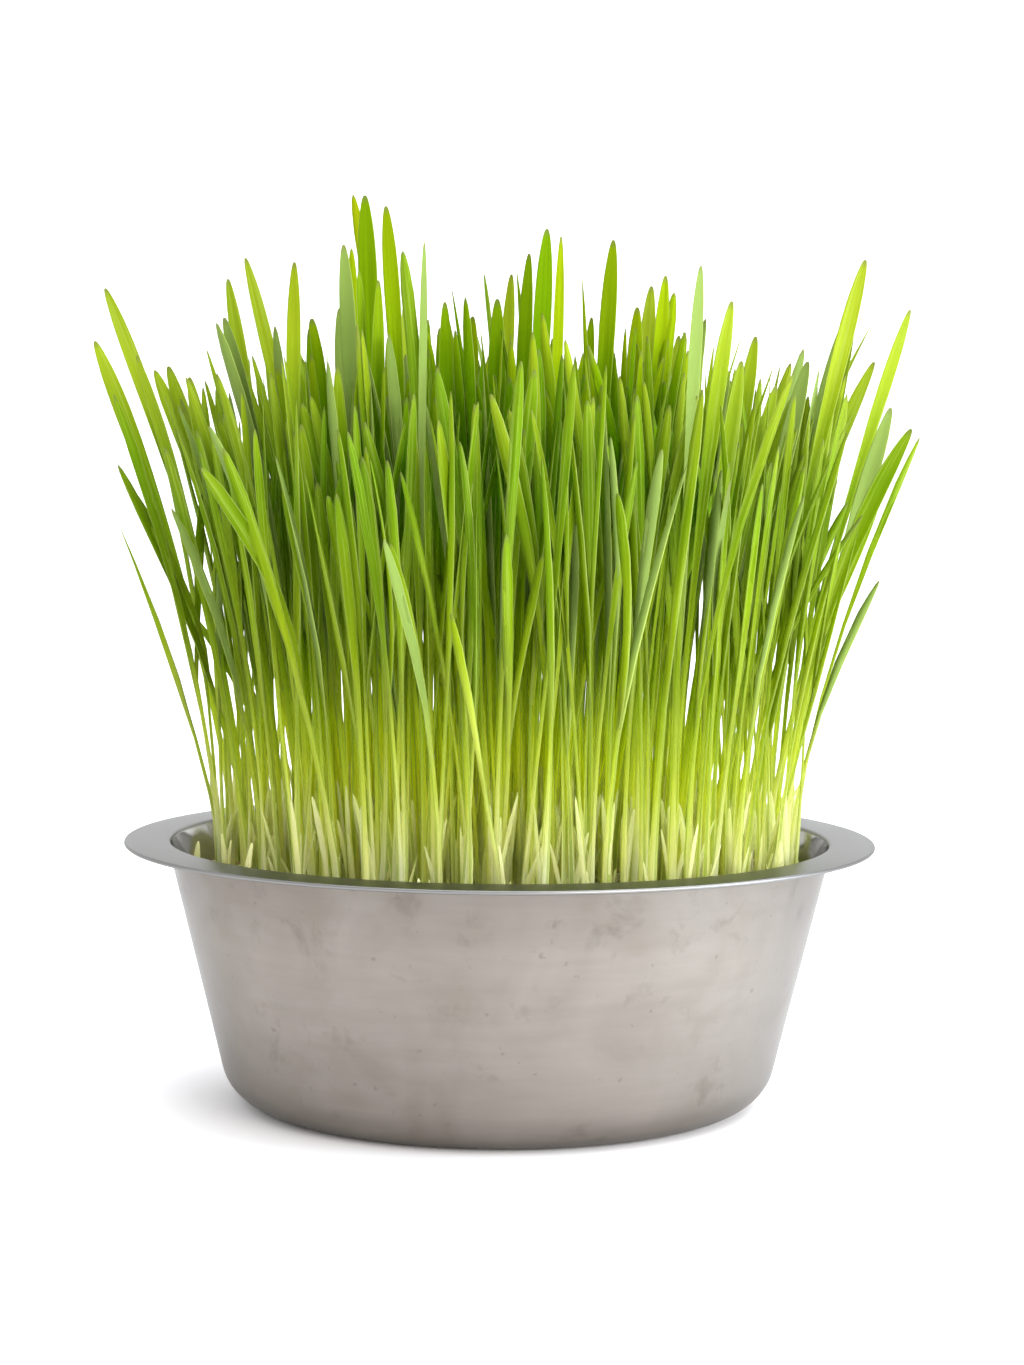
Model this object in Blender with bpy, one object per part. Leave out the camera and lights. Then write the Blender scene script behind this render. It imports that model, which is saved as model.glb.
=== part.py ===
# A round stainless steel bowl filled with potting soil, with a turf of wheatgrass growing in it.
# Metres, +Z up. The origin is the centre of the bowl's flat base, on the surface it stands on.
# The viewer looks along +Y.

import math
import random

import bmesh
import bpy
import numpy as np
from mathutils import Vector

# The bowl, a pressed steel dish of about two quarts.
RIM_RADIUS = 0.108
RIM_HEIGHT = 0.0761
SHEET = 0.0009
EDGE_RADIUS = 0.0006
EDGE_STEPS = 7
BASE_RADIUS = 0.0772
WALL_TOP_RADIUS = 0.0959
BASE_CORNER = 0.0142
CORNER_STEPS = 5
FLANGE_BEND = 0.0008
BEND_STEPS = 2
SEGMENTS = 60
SHARP_ANGLE = math.radians(35)

# What the bowl holds, and the gap kept between pieces that rest on each other.
REST_GAP = 0.0003
SOIL_TOP = 0.0565
MAT_TOP = 0.065
MAT_EDGE = 0.003
ROOT_DEPTH = 0.005

# The shoots stand in a disc a little right of the bowl's axis, spread by the golden angle.
SHOOT_COUNT = 300
TURF_RADIUS = 0.084
TURF_CENTRE = Vector((0.0025, 0.0))
FOOT_JITTER = 0.0022
SEED = 23

# Along a shoot: fraction of its height, then its width and thickness there in mm.
SHOOT_SHAPE = (
    (0.0, 2.7, 2.1),
    (0.34, 2.1, 1.6),
    (0.62, 4.2, 1.3),
    (0.87, 4.6, 0.9),
)
SHOOT_SIZES = (0.86, 1.12)
BEND_POWERS = (1.1, 2.3)
SWAY = 0.003
TWIST = 0.7
TURN_TO_VIEWER = 0.8
SHOOT_GAP = 0.0004
TRIES = 80
LEVEL_STEP = 0.006
LEVELS = [MAT_TOP + LEVEL_STEP * step for step in range(33)]

# The tallest tips as they read on the plane through the bowl's axis: offset and height in mm.
SKYLINE = (
    (-117, 218), (-114, 233), (-105, 214), (-96, 211), (-91, 142), (-90, 208), (-81, 189),
    (-80, 225), (-79, 236), (-74, 242), (-65, 211), (-61, 220), (-60, 241), (-55, 225),
    (-47, 228), (-46, 246), (-40, 260), (-36, 236), (-34, 257), (-28, 232), (-23, 247),
    (-17, 230), (-9, 226), (-2, 231), (2, 238), (7, 244), (12, 251), (16, 249), (25, 226),
    (31, 248), (38, 229), (42, 235), (46, 238), (50, 221), (56, 241), (60, 218), (65, 231),
    (68, 214), (72, 221), (77, 185), (78, 207), (87, 214), (98, 227), (103, 243), (106, 214),
    (108, 174), (111, 201), (116, 229), (117, 195),
)
VIEW_DISTANCE = 0.9
EYE_HEIGHT = 0.19
SIDE_OFFSET = 60
SIDE_FAN = 0.70
MIDDLE_FAN = 0.82
DEPTH_SPREAD = (0.8, 1.4)

# The other tips fan outwards from their feet, and are lower towards the edge of the turf.
FAN = (0.004, 0.028)
LEAN = 0.008
FILL_LOW, FILL_HIGH, FILL_USUAL = 0.158, 0.231, 0.217
EDGE_DROP = 0.018

# Late sprouts by the wall: compass angle in degrees, distance from the axis and height in mm.
LATE_SPROUTS = (
    (181, 88.0, 74.5), (152, 87.5, 88.0), (118, 88.5, 79.0), (74, 87.5, 84.0), (38, 88.5, 77.0),
    (4, 86.5, 72.5), (-27, 88.0, 82.0), (-68, 87.0, 73.0), (-104, 88.5, 76.0), (-141, 87.5, 81.0),
)
SPROUT_SHAPE = ((0.0, 2.2, 1.8), (0.6, 2.0, 1.6))

# Seeds that lie half sunk in the mat, in the ring between the turf and the wall.
SEED_SIZE = Vector((0.0066, 0.0032, 0.0029))
SEED_COUNT = 30
SEED_RING = (0.0845, 0.0872)
SEED_TILT = 0.2
SEED_TURN = 0.6


def clear_scene():
    for old in list(bpy.data.objects):
        bpy.data.objects.remove(old, do_unlink=True)


def make_material(name, colour, roughness, metallic=0.0):
    material = bpy.data.materials.new(name)
    material.use_nodes = True
    shader = material.node_tree.nodes["Principled BSDF"]
    shader.inputs["Base Color"].default_value = (*colour, 1.0)
    shader.inputs["Roughness"].default_value = roughness
    shader.inputs["Metallic"].default_value = metallic
    return material


def finish_mesh(bm, mesh):
    bmesh.ops.recalc_face_normals(bm, faces=bm.faces)
    bm.to_mesh(mesh)
    bm.free()


def shade(mesh):
    mesh.shade_smooth()
    mesh.set_sharp_from_angle(angle=SHARP_ANGLE)


def on_circle(centre, radius, angle):
    return centre + radius * Vector((math.cos(angle), math.sin(angle)))


def wall_radius(height, inside=0.0):
    """Radius of the wall's outer face at a height, or of a surface that lies inside it."""
    slope = (WALL_TOP_RADIUS - BASE_RADIUS) / RIM_HEIGHT
    return BASE_RADIUS + slope * height - inside * math.hypot(1.0, slope)


def fillet(before, corner, after, radius, steps):
    """Points of the arc that rounds the corner of a profile."""
    before, corner, after = Vector(before), Vector(corner), Vector(after)
    back = (before - corner).normalized()
    ahead = (after - corner).normalized()
    half = back.angle(ahead) / 2
    centre = corner + (back + ahead).normalized() * radius / math.sin(half)
    start = corner + back * radius / math.tan(half) - centre
    end = corner + ahead * radius / math.tan(half) - centre
    first = math.atan2(start.y, start.x)
    turn = start.angle_signed(end)
    return [on_circle(centre, radius, first - turn * step / steps) for step in range(steps + 1)]


def turned_solid(name, profile, material):
    """A closed solid: a profile whose two ends lie on the axis, turned once round."""
    mesh = bpy.data.meshes.new(name)
    bm = bmesh.new()
    verts = [bm.verts.new((point[0], 0.0, point[1])) for point in profile]
    edges = [bm.edges.new(pair) for pair in zip(verts, verts[1:])]
    bmesh.ops.spin(
        bm, geom=verts + edges, cent=(0, 0, 0), axis=(0, 0, 1),
        angle=math.tau, steps=SEGMENTS, use_merge=True,
    )
    bmesh.ops.remove_doubles(bm, verts=bm.verts, dist=1e-6)
    bmesh.ops.dissolve_degenerate(bm, edges=bm.edges, dist=1e-7)
    finish_mesh(bm, mesh)
    shade(mesh)
    mesh.materials.append(material)
    solid = bpy.data.objects.new(name, mesh)
    bpy.context.scene.collection.objects.link(solid)
    return solid


def make_bowl():
    """One pressed sheet: flat base, straight sloping wall, and a flat flange rolled under at its edge."""
    under = RIM_HEIGHT - SHEET
    edge = Vector((RIM_RADIUS - EDGE_RADIUS, RIM_HEIGHT - EDGE_RADIUS))
    edge_from = math.asin((edge.y - under) / EDGE_RADIUS) - math.pi
    edge_to = math.pi / 2
    base_outside = (BASE_RADIUS, 0.0)
    base_inside = (wall_radius(SHEET, SHEET), SHEET)
    bend_outside = (wall_radius(under), under)
    bend_inside = (wall_radius(RIM_HEIGHT, SHEET), RIM_HEIGHT)

    profile = [Vector((0.0, 0.0))]
    profile += fillet((0, 0), base_outside, bend_outside, BASE_CORNER, CORNER_STEPS)
    profile += fillet(base_outside, bend_outside, (RIM_RADIUS, under), FLANGE_BEND + SHEET, BEND_STEPS)
    for step in range(EDGE_STEPS + 1):
        angle = edge_from + (edge_to - edge_from) * step / EDGE_STEPS
        profile.append(on_circle(edge, EDGE_RADIUS, angle))
    profile += fillet((RIM_RADIUS, RIM_HEIGHT), bend_inside, base_inside, FLANGE_BEND, BEND_STEPS)
    profile += fillet(bend_inside, base_inside, (0, SHEET), BASE_CORNER - SHEET, CORNER_STEPS)
    profile.append(Vector((0.0, SHEET)))
    steel = make_material("brushed stainless steel", (0.53, 0.50, 0.46), 0.34, 1.0)
    return turned_solid("bowl", profile, steel)


def make_soil():
    """Potting soil that fills the bowl up to the root mat."""
    inside = SHEET + REST_GAP
    corner = (wall_radius(inside, inside), inside)
    top = (wall_radius(SOIL_TOP, inside), SOIL_TOP)
    profile = [Vector((0.0, inside))]
    profile += fillet((0, inside), corner, top, BASE_CORNER - SHEET, CORNER_STEPS - 1)
    profile += [Vector(top), Vector((0.0, SOIL_TOP))]
    soil = make_material("moist potting soil", (0.045, 0.030, 0.020), 0.95)
    return turned_solid("potting_soil", profile, soil)


def make_mat(material):
    """The mat of roots and seeds that the shoots stand in, with a rounded upper edge."""
    inside = SHEET + REST_GAP
    low = SOIL_TOP + REST_GAP
    bottom = (wall_radius(low, inside), low)
    edge = (wall_radius(MAT_TOP, inside), MAT_TOP)
    profile = [Vector((0.0, low)), Vector(bottom)]
    profile += fillet(bottom, edge, (0, MAT_TOP), MAT_EDGE, BEND_STEPS)
    profile.append(Vector((0.0, MAT_TOP)))
    return turned_solid("wheatgrass", profile, material)


def shoot_feet():
    draw = random.Random(SEED)
    golden = math.pi * (3 - math.sqrt(5))
    feet = []
    for index in range(SHOOT_COUNT):
        radius = TURF_RADIUS * math.sqrt((index + 0.5) / SHOOT_COUNT)
        jitter = Vector((draw.uniform(-1, 1), draw.uniform(-1, 1))) * FOOT_JITTER
        feet.append(on_circle(TURF_CENTRE, radius, index * golden) + jitter)
    return feet


def interpolate(shape, column, part):
    """Value of a shape's column at a fraction of the height, falling to nothing at the tip."""
    parts = [row[0] for row in shape] + [1.0]
    values = [row[column] for row in shape] + [0.0]
    return float(np.interp(part, parts, values))


def shoot_point(shoot, part):
    """Centre line of a shoot at a fraction of its height."""
    foot, tip, lean = shoot["foot"], shoot["tip"], shoot["lean"]
    bend = max(part, 0.0) ** shoot["bend"]
    sway = shoot["sway"] * math.sin(math.pi * part)
    return Vector((
        foot.x + (tip.x - foot.x) * bend - sway * lean.y,
        foot.y + (tip.y - foot.y) * bend + sway * lean.x,
        foot.z + (tip.z - foot.z) * part,
    ))


def draw_shoot(draw, foot, tip, facing):
    """A shoot from a foot to a tip, with its own bend, sway, twist and size."""
    lean = Vector((tip.x - foot.x, tip.y - foot.y))
    return {
        "foot": Vector((foot.x, foot.y, MAT_TOP - ROOT_DEPTH)),
        "tip": tip,
        "lean": lean.normalized(),
        "bend": draw.uniform(*BEND_POWERS),
        "sway": draw.uniform(-SWAY, SWAY),
        "facing": facing,
        "twist": draw.uniform(-TWIST, TWIST),
        "size": draw.uniform(*SHOOT_SIZES) * 0.001,
    }


def skyline_tip(draw, foot, offset, height):
    """One of the tallest tips, moved along the line of sight to a depth near its foot's."""
    depth = foot.y * draw.uniform(*DEPTH_SPREAD)
    scale = 1 + depth / VIEW_DISTANCE
    return Vector((offset * scale, depth, EYE_HEIGHT + (height - EYE_HEIGHT) * scale))


def fill_tip(draw, foot):
    out = (foot - TURF_CENTRE) / TURF_RADIUS
    fan = draw.uniform(*FAN)
    height = draw.triangular(FILL_LOW, FILL_HIGH, FILL_USUAL) - EDGE_DROP * out.length ** 3
    return Vector((
        foot.x + out.x * fan + draw.gauss(0, LEAN),
        foot.y + out.y * fan + draw.gauss(0, LEAN),
        height,
    ))


def levels_of(shoot):
    """Where a shoot is, and half its width, at every level that it reaches."""
    rows = np.full((len(LEVELS), 3), np.nan)
    foot, top = shoot["foot"].z, shoot["tip"].z
    for row, level in enumerate(LEVELS):
        part = (level - foot) / (top - foot)
        if part < 1.0:
            point = shoot_point(shoot, part)
            width = interpolate(SHOOT_SHAPE, 1, part) * shoot["size"]
            rows[row] = point.x, point.y, width / 2
    return rows


def smallest_gap(rows, placed):
    if not placed:
        return math.inf
    others = np.array(placed)
    apart = np.hypot(others[:, :, 0] - rows[:, 0], others[:, :, 1] - rows[:, 1])
    return float(np.nanmin(apart - others[:, :, 2] - rows[:, 2]))


def assign_feet(draw):
    """Pairs each tall tip with a foot below it, then leaves the other feet without a mark."""
    free = shoot_feet()
    pairs = []
    for offset, height in SKYLINE:
        fan = SIDE_FAN if abs(offset) > SIDE_OFFSET else MIDDLE_FAN
        nearest = sorted(free, key=lambda foot: abs(foot.x - offset * 0.001 * fan))
        foot = draw.choice(nearest[:5])
        free.remove(foot)
        pairs.append((foot, (offset * 0.001, height * 0.001)))
    return pairs + [(foot, None) for foot in free]


def plan_shoots():
    """Every shoot is drawn again until it keeps clear of those already placed."""
    draw = random.Random(SEED + 1)
    shoots, placed = [], []
    for foot, mark in assign_feet(draw):
        best_gap = -math.inf
        for attempt in range(TRIES):
            if mark:
                tip = skyline_tip(draw, foot, *mark)
                facing = draw.uniform(-TURN_TO_VIEWER, TURN_TO_VIEWER)
            else:
                tip = fill_tip(draw, foot)
                facing = draw.uniform(0, math.pi)
            shoot = draw_shoot(draw, foot, tip, facing)
            rows = levels_of(shoot)
            gap = smallest_gap(rows, placed)
            if gap > best_gap:
                best_gap, best, best_rows = gap, shoot, rows
            if gap > SHOOT_GAP:
                break
        shoots.append(best)
        placed.append(best_rows)
    return shoots


def plan_sprouts():
    draw = random.Random(SEED + 2)
    sprouts = []
    for degrees, out, height in LATE_SPROUTS:
        foot = on_circle(Vector((0.0, 0.0)), out * 0.001, math.radians(degrees))
        tip = Vector((foot.x * 0.99, foot.y * 0.99, height * 0.001))
        sprouts.append(draw_shoot(draw, foot, tip, draw.uniform(0, math.pi)))
    return sprouts


def blade_ring(shoot, part, width, thick):
    """Corners of a keeled blade's section: its two edges and the rib behind them."""
    here = shoot_point(shoot, part)
    along = (shoot_point(shoot, part + 0.02) - shoot_point(shoot, part - 0.02)).normalized()
    facing = shoot["facing"] + shoot["twist"] * part
    side = Vector((math.cos(facing), math.sin(facing), 0.0))
    side = (side - along * side.dot(along)).normalized()
    rib = along.cross(side) * thick
    front = here - rib / 3
    return front - side * width / 2, front + side * width / 2, here + rib * 2 / 3


def add_blade(shoot, shape, collection):
    """A closed three-sided blade through the sections of its shape, ending in a point."""
    mesh = bpy.data.meshes.new("blade")
    bm = bmesh.new()
    rings = []
    for part, width, thick in shape:
        corners = blade_ring(shoot, part, width * shoot["size"], thick * shoot["size"])
        rings.append([bm.verts.new(corner) for corner in corners])
    for lower, upper in zip(rings, rings[1:]):
        for index in range(3):
            after = (index + 1) % 3
            bm.faces.new((lower[index], lower[after], upper[after]))
            bm.faces.new((lower[index], upper[after], upper[index]))
    point = bm.verts.new(shoot["tip"])
    for index in range(3):
        bm.faces.new((rings[-1][index], rings[-1][(index + 1) % 3], point))
    bm.faces.new(reversed(rings[0]))
    finish_mesh(bm, mesh)
    collection.objects.link(bpy.data.objects.new("blade", mesh))


def add_seeds(collection):
    draw = random.Random(SEED + 3)
    mesh = bpy.data.meshes.new("seed")
    bm = bmesh.new()
    bmesh.ops.create_icosphere(bm, subdivisions=1, radius=0.5)
    finish_mesh(bm, mesh)
    for index in range(SEED_COUNT):
        angle = math.tau * (index + draw.uniform(-0.3, 0.3)) / SEED_COUNT
        spot = on_circle(Vector((0.0, 0.0)), draw.uniform(*SEED_RING), angle)
        turn = angle + math.pi / 2 + draw.uniform(-SEED_TURN, SEED_TURN)
        tilt = draw.uniform(-SEED_TILT, SEED_TILT)
        seed = bpy.data.objects.new("seed", mesh)
        seed.location = (spot.x, spot.y, MAT_TOP)
        seed.rotation_euler = (0.0, tilt, turn)
        seed.scale = SEED_SIZE
        collection.objects.link(seed)


def grow_together(body, repeats):
    """Joins the collection's solids to the body, then removes them."""
    joined = body.modifiers.new("grown together", "BOOLEAN")
    joined.operation = "UNION"
    joined.operand_type = "COLLECTION"
    joined.collection = repeats
    joined.solver = "MANIFOLD"
    bpy.context.view_layer.update()
    graph = bpy.context.evaluated_depsgraph_get()
    grown = bpy.data.meshes.new_from_object(body.evaluated_get(graph))
    body.modifiers.clear()
    body.data = grown
    for repeat in list(repeats.objects):
        bpy.data.objects.remove(repeat, do_unlink=True)
    bpy.data.collections.remove(repeats)
    shade(grown)


def make_turf():
    """Root mat, shoots, late sprouts and seeds, grown together into one body."""
    green = make_material("wheatgrass", (0.30, 0.50, 0.05), 0.45)
    turf = make_mat(green)
    repeats = bpy.data.collections.new("repeats")
    bpy.context.scene.collection.children.link(repeats)
    for shoot in plan_shoots():
        add_blade(shoot, SHOOT_SHAPE, repeats)
    for sprout in plan_sprouts():
        add_blade(sprout, SPROUT_SHAPE, repeats)
    add_seeds(repeats)
    grow_together(turf, repeats)
    return turf


clear_scene()
make_bowl()
make_soil()
make_turf()
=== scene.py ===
import math
import random

import bmesh
import bpy
import numpy as np
from mathutils import Matrix, Vector, noise


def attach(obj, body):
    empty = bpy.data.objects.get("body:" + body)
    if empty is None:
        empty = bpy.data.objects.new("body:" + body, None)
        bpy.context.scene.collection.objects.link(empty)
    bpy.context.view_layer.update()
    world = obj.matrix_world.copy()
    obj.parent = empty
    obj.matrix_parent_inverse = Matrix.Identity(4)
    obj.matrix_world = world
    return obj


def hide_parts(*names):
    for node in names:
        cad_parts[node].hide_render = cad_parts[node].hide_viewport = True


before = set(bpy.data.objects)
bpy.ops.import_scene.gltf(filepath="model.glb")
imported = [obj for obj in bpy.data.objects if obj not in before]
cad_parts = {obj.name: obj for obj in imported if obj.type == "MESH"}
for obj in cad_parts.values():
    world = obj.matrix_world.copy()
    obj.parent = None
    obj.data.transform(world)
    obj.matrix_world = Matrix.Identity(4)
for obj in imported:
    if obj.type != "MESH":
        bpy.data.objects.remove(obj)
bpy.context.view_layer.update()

# Wheatgrass in a steel bowl, planned in millimetres and built in metres
mm = 0.001
weld = 1e-6  # points nearer than this many metres are one
axis = Vector((0.0, 0.0))  # the bowl's own, seen from above


# Helpers for node trees, colours and pieces

def linear(hexColour):
    channels = [int(hexColour[i:i + 2], 16) / 255 for i in (1, 3, 5)]
    return tuple(c / 12.92 if c <= 0.04045 else ((c + 0.055) / 1.055) ** 2.4 for c in channels) + (1.0,)


def add(tree, kind, *wires, stops=None, curve=None, **settings):
    # adds a node, a shader one unless its kind says otherwise: wires go to its live inputs in order, or by
    # name in one dictionary, and a wire is a value, a socket, or a node that stands for its first live
    # output; stops fill a ramp and curve a float curve
    node = tree.nodes.new(kind if "Node" in kind else "ShaderNode" + kind)
    for name, value in settings.items():
        setattr(node, name, value)
    live = [socket for socket in node.inputs if socket.enabled]
    if wires and isinstance(wires[0], dict):
        pairs = [(next(s for s in live if s.name == name), wire) for name, wire in wires[0].items()]
    else:
        pairs = zip(live, wires)
    for socket, wire in pairs:
        if isinstance(wire, bpy.types.Node):
            wire = next(s for s in wire.outputs if s.enabled)
        if isinstance(wire, bpy.types.NodeSocket):
            tree.links.new(wire, socket)
        elif wire is not None:
            socket.default_value = linear(wire) if isinstance(wire, str) and wire.startswith("#") else wire
    if stops:
        elements = node.color_ramp.elements
        while len(elements) < len(stops):
            elements.new(0.5)
        for element, (place, colour) in zip(elements, stops):
            element.position = place
            element.color = linear(colour) if isinstance(colour, str) else (colour, colour, colour, 1.0)
    if curve:
        points = node.mapping.curves[0].points
        while len(points) < len(curve):
            points.new(0.5, 0.5)
        for point, place in zip(points, curve):
            point.location = place
        node.mapping.update()
    return node


def newTree(name, inputs, outputs):
    tree = bpy.data.node_groups.new(name, "GeometryNodeTree")
    for label, kind, value in inputs:
        socket = tree.interface.new_socket(label, in_out="INPUT", socket_type="NodeSocket" + kind)
        if value is not None:
            socket.default_value = value
    for label, kind in outputs:
        tree.interface.new_socket(label, in_out="OUTPUT", socket_type="NodeSocket" + kind)
    return tree, tree.nodes.new("NodeGroupInput").outputs, tree.nodes.new("NodeGroupOutput").inputs


def endTree(tree, geometry, given, output):
    real = add(tree, "GeometryNodeRealizeInstances", {"Geometry": geometry})
    dressed = add(tree, "GeometryNodeSetMaterial", {"Geometry": real, "Material": given["Material"]})
    tree.links.new(dressed.outputs[0], output[0])
    return tree


def bakeNodes(piece, tree, values):
    modifier = piece.modifiers.new(tree.name, "NODES")
    modifier.node_group = tree
    for item in tree.interface.items_tree:
        if item.item_type == "SOCKET" and item.in_out == "INPUT" and item.name in values:
            modifier[item.identifier] = values[item.name]
    graph = bpy.context.evaluated_depsgraph_get()
    graph.update()
    made = bpy.data.meshes.new_from_object(piece.evaluated_get(graph))
    piece.modifiers.clear()
    piece.data = made
    made.name = piece.name
    return piece


def newPiece(name, mesh):
    piece = bpy.data.objects.new(name, mesh)
    bpy.context.scene.collection.objects.link(piece)
    return piece


def noteOnPoints(mesh, name, kind, values):
    field = "vector" if kind == "FLOAT_VECTOR" else "value"
    for item, value in zip(mesh.attributes.new(name, kind, "POINT").data, values):
        setattr(item, field, value)


def handOver(piece, node):
    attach(piece, "root")
    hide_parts(node)
    print(piece.name, len(piece.data.polygons), "faces")


def newMaterial(name):
    material = bpy.data.materials.new(name)
    material.use_nodes = True
    tree = material.node_tree
    tree.nodes.clear()
    return material, tree, tree.nodes.new("ShaderNodeOutputMaterial").inputs["Surface"]


def roughen(tree, colour, lumps, s, surface):
    # a dull, uneven surface in this colour
    bump = add(tree, "Bump", {"Height": lumps, "Strength": s["bump"], "Distance": s["depth"]})
    dull = add(tree, "BsdfPrincipled", {"Base Color": colour, "Roughness": s["rough"], "Normal": bump})
    tree.links.new(dull.outputs[0], surface)


# Camera at the photograph's eye, level with the leaves and tipped a little down

cameraSetup = {
    "distance": 0.900, "height": 0.1904,
    "pitch": 4.40, "yaw": 0.20, "roll": 0.50,
    "lens": 82.56, "filmHeight": 36.0,
}


def makeCamera(s):
    data = bpy.data.cameras.new("photoCamera")
    data.sensor_fit = "VERTICAL"
    data.sensor_height = s["filmHeight"]
    data.lens = s["lens"]
    camera = bpy.data.objects.new("photoCamera", data)
    bpy.context.scene.collection.objects.link(camera)
    pitch, yaw, roll = (math.radians(s[k]) for k in ("pitch", "yaw", "roll"))
    ahead = Vector((math.sin(yaw) * math.cos(pitch), math.cos(yaw) * math.cos(pitch), -math.sin(pitch)))
    right = ahead.cross(Vector((0, 0, 1))).normalized()
    up = right.cross(ahead)
    tiltedRight = right * math.cos(roll) + up * math.sin(roll)
    tiltedUp = up * math.cos(roll) - right * math.sin(roll)
    turn = Matrix((tiltedRight, tiltedUp, -ahead)).transposed().to_4x4()
    camera.matrix_world = Matrix.Translation((0, -s["distance"], s["height"])) @ turn
    bpy.context.scene.camera = camera
    print("camera set")


# Plain white sweep, bright enough to burn out, with soft window light from the right

lightSetup = {
    "skyStrength": 1.25, "skyColour": "#FDFDFF",
    "sweepColour": "#F7F7F7", "sweepFront": -2.5, "sweepBack": 1.6, "sweepHalfWidth": 3.0,
    "sweepBend": 0.8, "sweepTop": 3.0, "bendSteps": 12, "aim": (0, 0, 0.12), "spread": 180.0,
    "lamps": {
        "key": {"power": 66.0, "size": 3.0, "place": (0.4, 0.2, 2.0), "colour": "#F2F7FF"},
        "fill": {"power": 34.0, "size": 1.3, "place": (1.1, -1.6, 0.42), "colour": "#FFFAF4"},
        "side": {"power": 22.0, "size": 1.0, "place": (1.35, -0.35, 0.24), "colour": "#EAF2FF"},
        # lights the paper beside the bowl, which the right of the wall mirrors
        "floor": {"power": 0.21, "size": 0.2, "place": (0.40, -0.17, 0.85), "colour": "#E2F3FF",
                  "aim": (0.23, -0.09, 0.0), "spread": 24.0},
    },
}


def makeLights(s):
    scene = bpy.context.scene
    world = bpy.data.worlds.new("paleStudio")
    world.use_nodes = True
    background = world.node_tree.nodes["Background"]
    background.inputs["Color"].default_value = linear(s["skyColour"])
    background.inputs["Strength"].default_value = s["skyStrength"]
    scene.world = world
    for name, lamp in s["lamps"].items():
        data = bpy.data.lights.new(name + "Light", "AREA")
        data.shape = "DISK"
        data.size = lamp["size"]
        data.energy = lamp["power"]
        data.color = linear(lamp["colour"])[:3]
        data.spread = math.radians(lamp.get("spread", s["spread"]))
        light = bpy.data.objects.new(name + "Light", data)
        scene.collection.objects.link(light)
        light.location = lamp["place"]
        aim = Vector(lamp.get("aim", s["aim"]))
        light.rotation_euler = (aim - light.location).to_track_quat("-Z", "Y").to_euler()
    scene.view_settings.view_transform = "Standard"
    print("lights set")


def makeSweep(s):
    profile = [(s["sweepFront"], 0.0), (s["sweepBack"], 0.0)]
    for step in range(1, s["bendSteps"] + 1):
        angle = math.pi / 2 * step / s["bendSteps"]
        back = s["sweepBack"] + s["sweepBend"] * math.sin(angle)
        profile.append((back, s["sweepBend"] * (1 - math.cos(angle))))
    profile.append((s["sweepBack"] + s["sweepBend"], s["sweepTop"]))
    mesh = bpy.data.meshes.new("sweep")
    bm = bmesh.new()
    rows = [[bm.verts.new((side * s["sweepHalfWidth"], y, z)) for side in (-1, 1)] for y, z in profile]
    for lower, upper in zip(rows, rows[1:]):
        bm.faces.new((lower[0], lower[1], upper[1], upper[0]))
    bm.to_mesh(mesh)
    bm.free()
    mesh.shade_smooth()
    material, tree, surface = newMaterial("matt white paper")  # even and shineless
    tree.links.new(add(tree, "BsdfDiffuse", s["sweepColour"]).outputs[0], surface)
    mesh.materials.append(material)
    newPiece("sweep", mesh)
    print("sweep set")


# Bowl: one sheet of stainless steel, pressed, with its edge rolled under

bowl = {
    "rimRadius": 108.0, "rimHeight": 76.1, "sheet": 0.9, "edgeRadius": 0.6,
    "baseRadius": 77.2, "wallTopRadius": 95.9, "baseCorner": 14.2, "flangeBend": 0.8,
    "stepsAround": 192, "arcSteps": 12, "edgeSteps": 12, "wallShares": (0.01, 0.15, 0.5, 0.85, 0.99),
    "baseRing": 0.5, "flangeRing": 1.5, "sharpFrom": 50,
}


def wallRadius(height, inside=0.0):
    slope = (bowl["wallTopRadius"] - bowl["baseRadius"]) / bowl["rimHeight"]
    return bowl["baseRadius"] + slope * height - inside * math.hypot(1.0, slope)


def fillet(before, corner, after, radius, steps):
    before, corner, after = Vector(before), Vector(corner), Vector(after)
    back = (before - corner).normalized()
    ahead = (after - corner).normalized()
    half = back.angle(ahead) / 2
    centre = corner + (back + ahead).normalized() * radius / math.sin(half)
    start = corner + back * radius / math.tan(half) - centre
    end = corner + ahead * radius / math.tan(half) - centre
    first = math.atan2(start.y, start.x)
    turn = start.angle_signed(end)
    return [onCircle(centre, radius, first - turn * step / steps) for step in range(steps + 1)]


def onCircle(centre, radius, angle):
    return centre + radius * Vector((math.cos(angle), math.sin(angle)))


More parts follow.
